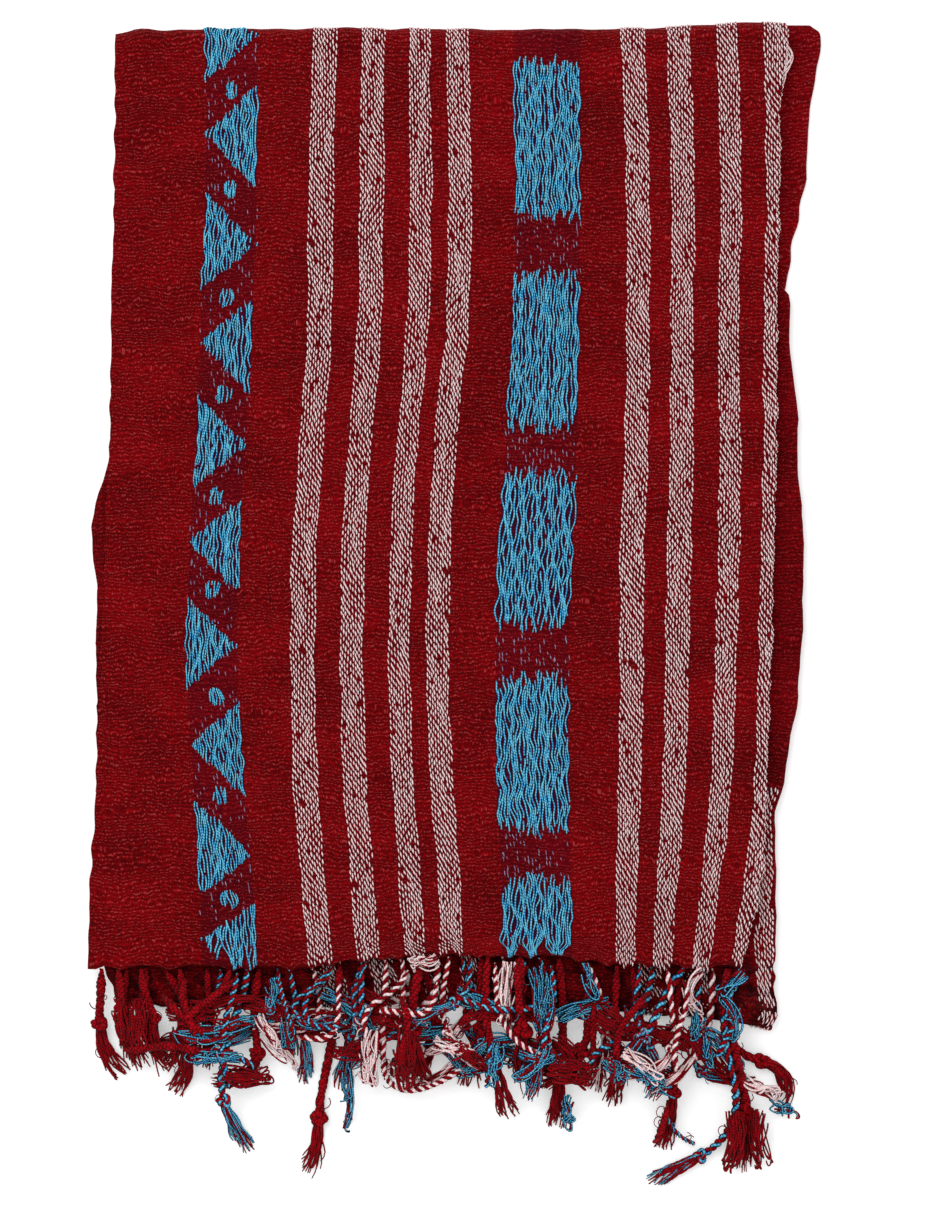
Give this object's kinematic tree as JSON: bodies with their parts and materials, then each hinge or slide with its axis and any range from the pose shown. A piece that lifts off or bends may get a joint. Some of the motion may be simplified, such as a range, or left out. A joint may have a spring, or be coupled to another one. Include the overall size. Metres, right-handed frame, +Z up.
{
  "type": "folded pashmina shawl",
  "caption": "Fringed wool shawl folded flat, crepe ground with white float stripes and a band of blue blocks and triangles.",
  "frame": {"origin": "middle of the folded shawl's box, on the surface it lies on", "axes": "+Z up from the surface, +Y away from the fringe towards the top fold, +X towards the lengthwise fold"},
  "size_m": [0.3814, 0.6078, 0.0296],
  "materials": {
    "crepe_wool": "matt deep red crepe wool with fine cross ridges, white and blue float yarns lying on it",
    "under_wool": "matt deep red crepe wool, the same cloth where it lies in the shade of the front",
    "fringe_yarn": "soft twisted wool cords with loose tassels, red, red with white, and red with blue"
  },
  "bodies": {
    "root": {"front_panel": "crepe_wool", "middle_panel": "under_wool", "back_panel": "under_wool", "folded_core": "under_wool", "front_fringe": "fringe_yarn", "back_fringe": "fringe_yarn"}
  },
  "joints": []
}
